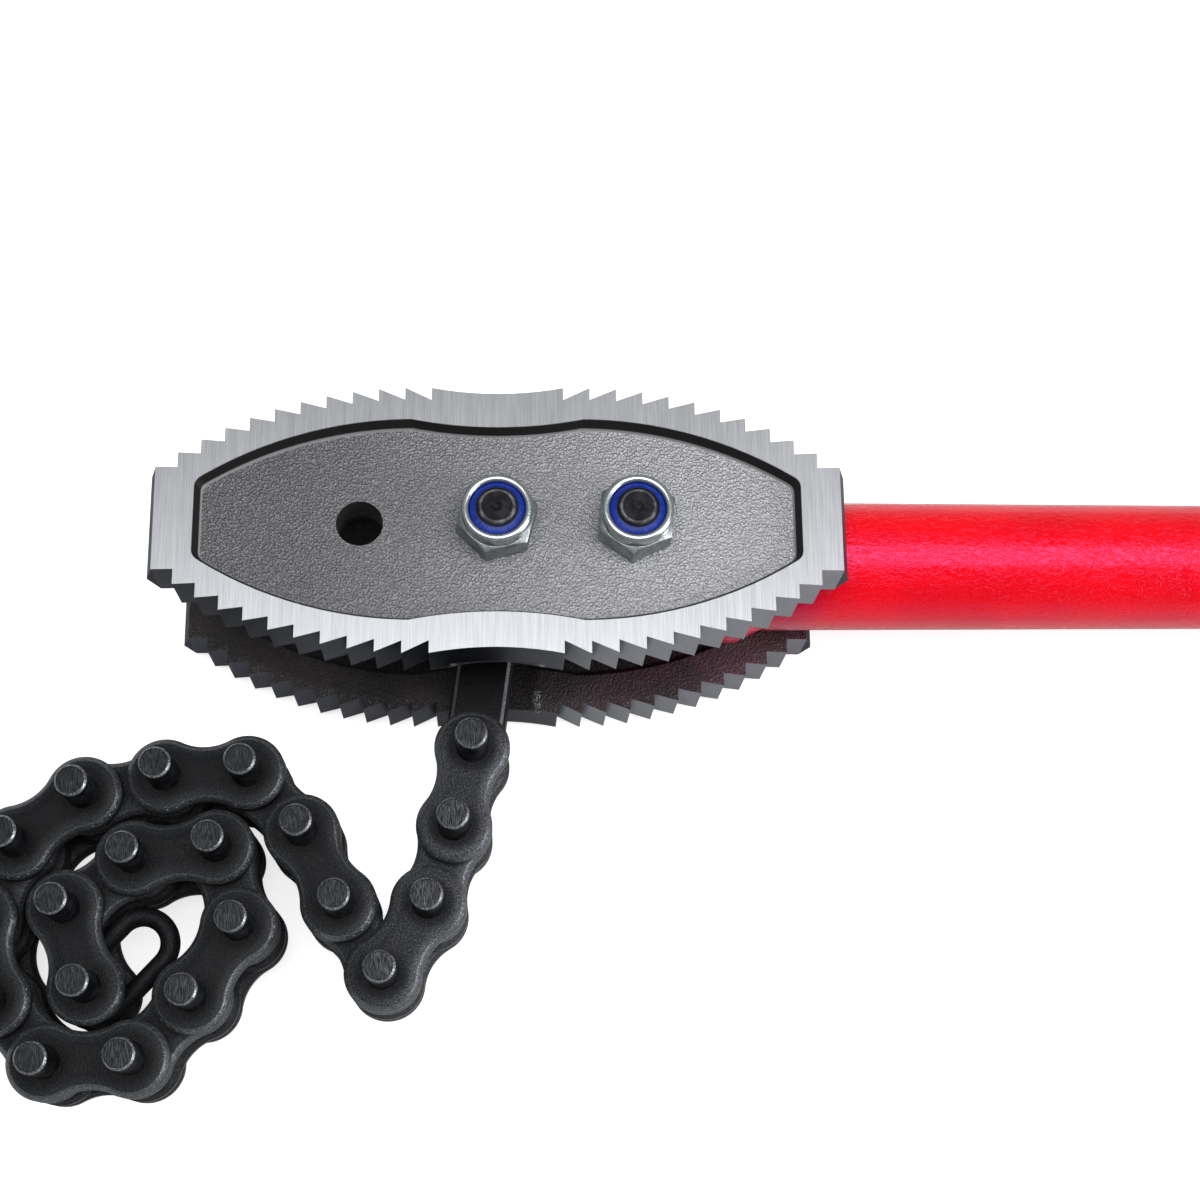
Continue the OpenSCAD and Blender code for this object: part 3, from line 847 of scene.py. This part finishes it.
def dress(names, surfaces, width=0.0, steps=2, angle=35.0, face=None):
    """Gives nodes their finishes and, where a width is given, broken edges or, with a face, domed plates."""
    for name in names:
        node = NODES[name]
        node.data.materials.clear()
        for surface in surfaces:
            node.data.materials.append(surface)
        if width <= 0.0:
            continue
        join_faces(node)
        if face is None:
            break_edges(node, width, steps, "ANGLE", angle)
        else:
            middle, turn = lie_of(node)
            add_nodes(node, "Plate rims", rim_group, Face=face)
            break_edges(node, width, steps, "WEIGHT", angle)
            add_nodes(node, "Plate lay", lay_group, Middle=middle, Turn=turn)
        smooth = node.modifiers.new("Even shading", "WEIGHTED_NORMAL")
        smooth.keep_sharp = face is not None
        for polygon in node.data.polygons:
            polygon.use_smooth = True


def named(start):
    """Names of the nodes that begin with a word."""
    return [name for name in NODES if name.startswith(start)]


def settings(context):
    """The user's settings."""
    return context.scene.wrench


class WRENCH_OT_jaws(bpy.types.Operator):
    """Finish the two jaws"""

    bl_idname = "wrench.jaws"
    bl_label = "Jaws"

    def execute(self, context):
        s = settings(context).jaw
        edge = edge_material("jaw_bare_edge", tinted(s.ground, 0.9), 0.6)
        dress(["upper_jaw", "lower_jaw"], [jaw_material(s), edge], s.edge, steps=1, angle=40.0)
        return {"FINISHED"}


class WRENCH_OT_bolts(bpy.types.Operator):
    """Finish the bolts, the nuts, their locking rings and the spacer"""

    bl_idname = "wrench.bolts"
    bl_label = "Bolts and nuts"

    def execute(self, context):
        s = settings(context).bolt
        black = bolt_material(s)
        dress(["centre_nut", "handle_nut"], [zinc_material(s)], s.edge, angle=28.0)
        dress(["centre_nylon", "handle_nylon"], [nylon_material(s)], s.edge)
        dress(["centre_bolt", "handle_bolt"], [black], 0.6 * s.edge, angle=28.0)
        dress(["centre_sleeve"], [black], s.edge)
        return {"FINISHED"}


class WRENCH_OT_handle(bpy.types.Operator):
    """Finish the painted handle"""

    bl_idname = "wrench.handle"
    bl_label = "Handle"

    def execute(self, context):
        s = settings(context).handle
        dress(["handle"], [paint_material(s)], s.edge, steps=3, angle=25.0)
        return {"FINISHED"}


class WRENCH_OT_chain(bpy.types.Operator):
    """Finish the chain, its anchor and its end loop"""

    bl_idname = "wrench.chain"
    bl_label = "Chain"

    def execute(self, context):
        s = settings(context).chain
        black = chain_material(s)
        edge = edge_material("chain_rubbed_edge", tinted(s.worn, 0.16), 0.12)
        for start, high in zip(("outer_plates", "inner_link"), PLATE_FACES):
            dress(named(start), [black], s.dome, steps=s.dome_steps, face=high - FACE_MARGIN)
        dress(named("pins_"), [pin_material(s)], s.pin_edge)
        dress(["anchor_link"], [black, edge], s.anchor_edge)
        dress(["end_loop"], [black])
        return {"FINISHED"}


class WRENCH_OT_stage(bpy.types.Operator):
    """Set the camera, the floor and the lights"""

    bl_idname = "wrench.stage"
    bl_label = "Stage"

    def execute(self, context):
        s = settings(context).stage
        self.set_camera(context, s)
        self.lay_floor(context, s)
        self.add_light(context, "overhead", s.key, *OVERHEAD_BOX)
        self.add_light(context, "side", s.side, *SIDE_BOX)
        self.light_room(context, s)
        context.scene.view_settings.view_transform = "Standard"
        return {"FINISHED"}

    def set_camera(self, context, s):
        """Camera at the photograph's place and lens."""
        turn, tilt, roll = (math.radians(angle) for angle in (s.azimuth, s.elevation, s.roll))
        level = math.cos(tilt)
        back = Vector((math.sin(turn) * level, -math.cos(turn) * level, math.sin(tilt)))
        right = Vector((math.cos(turn), math.sin(turn), 0.0))
        up = back.cross(right)
        side = right * math.cos(roll) + up * math.sin(roll)
        top = up * math.cos(roll) - right * math.sin(roll)
        data = bpy.data.cameras.new("camera")
        data.sensor_width = SENSOR_WIDTH
        data.lens = s.focal
        data.shift_x = s.slide
        data.shift_y = s.lift
        data.clip_start, data.clip_end = CLIP_RANGE
        made = bpy.data.objects.new("camera", data)
        axes = Matrix((side, top, back)).transposed().to_4x4()
        made.matrix_world = Matrix.Translation(s.place) @ axes
        context.scene.collection.objects.link(made)
        context.scene.camera = made

    def lay_floor(self, context, s):
        """Wide pale floor under the bolt heads."""
        mesh = bpy.data.meshes.new("floor")
        corners = [(x * FLOOR_HALF, y * FLOOR_HALF, 0.0) for x, y in ((-1, -1), (1, -1), (1, 1), (-1, 1))]
        mesh.from_pydata(corners, [], [(0, 1, 2, 3)])
        made, net, shader = new_material("floor_pale")
        cloud = net.noise(net.point(), 3.0)
        shade = net.mix(net.ramp(cloud, 0.3, 0.7), s.floor, tinted(s.floor, 0.985))
        seen = net.put("ShaderNodeLightPath").outputs["Is Camera Ray"]
        finish_surface(
            net, shader, Base_Color=shade, Roughness=0.9, Specular_IOR_Level=0.1,
            Emission_Color=s.floor, Emission_Strength=net.times(seen, s.glow),
        )
        mesh.materials.append(made)
        floor = bpy.data.objects.new("floor", mesh)
        floor.location.z = -FLOOR_DROP
        context.scene.collection.objects.link(floor)

    def add_light(self, context, name, power, place, aim, size):
        """One soft box."""
        data = bpy.data.lights.new(name, "AREA")
        data.shape = "RECTANGLE"
        data.size, data.size_y = size
        data.energy = power
        made = bpy.data.objects.new(name, data)
        way = Vector(aim) - Vector(place)
        made.matrix_world = Matrix.Translation(place) @ way.to_track_quat("-Z", "Y").to_matrix().to_4x4()
        context.scene.collection.objects.link(made)

    def light_room(self, context, s):
        """Even, faintly cool light from all round."""
        world = bpy.data.worlds.new("room")
        world.use_nodes = True
        back = world.node_tree.nodes["Background"]
        back.inputs["Color"].default_value = ROOM_COLOUR
        back.inputs["Strength"].default_value = s.sky
        context.scene.world = world


class WRENCH_PT_panel(bpy.types.Panel):
    """Lists the wrench's steps"""

    bl_label = "Chain pipe wrench"
    bl_idname = "WRENCH_PT_panel"
    bl_space_type = "VIEW_3D"
    bl_region_type = "UI"
    bl_category = "Wrench"

    def draw(self, context):
        for step in STEPS:
            self.layout.operator(step.bl_idname)


STEPS = (WRENCH_OT_jaws, WRENCH_OT_bolts, WRENCH_OT_handle, WRENCH_OT_chain, WRENCH_OT_stage)
GROUPS = (JawSettings, BoltSettings, HandleSettings, ChainSettings, StageSettings, WrenchSettings)
CLASSES = (*GROUPS, *STEPS, WRENCH_PT_panel)


def register():
    """Adds the settings, the steps and the panel."""
    for made in CLASSES:
        bpy.utils.register_class(made)
    bpy.types.Scene.wrench = PointerProperty(type=WrenchSettings)


def unregister():
    """Takes them away again."""
    del bpy.types.Scene.wrench
    for made in reversed(CLASSES):
        bpy.utils.unregister_class(made)


def main():
    """Runs every step."""
    register()
    bpy.ops.wrench.jaws()
    bpy.ops.wrench.bolts()
    bpy.ops.wrench.handle()
    bpy.ops.wrench.chain()
    bpy.ops.wrench.stage()
    bpy.context.view_layer.update()


if __name__ == "__main__":
    main()
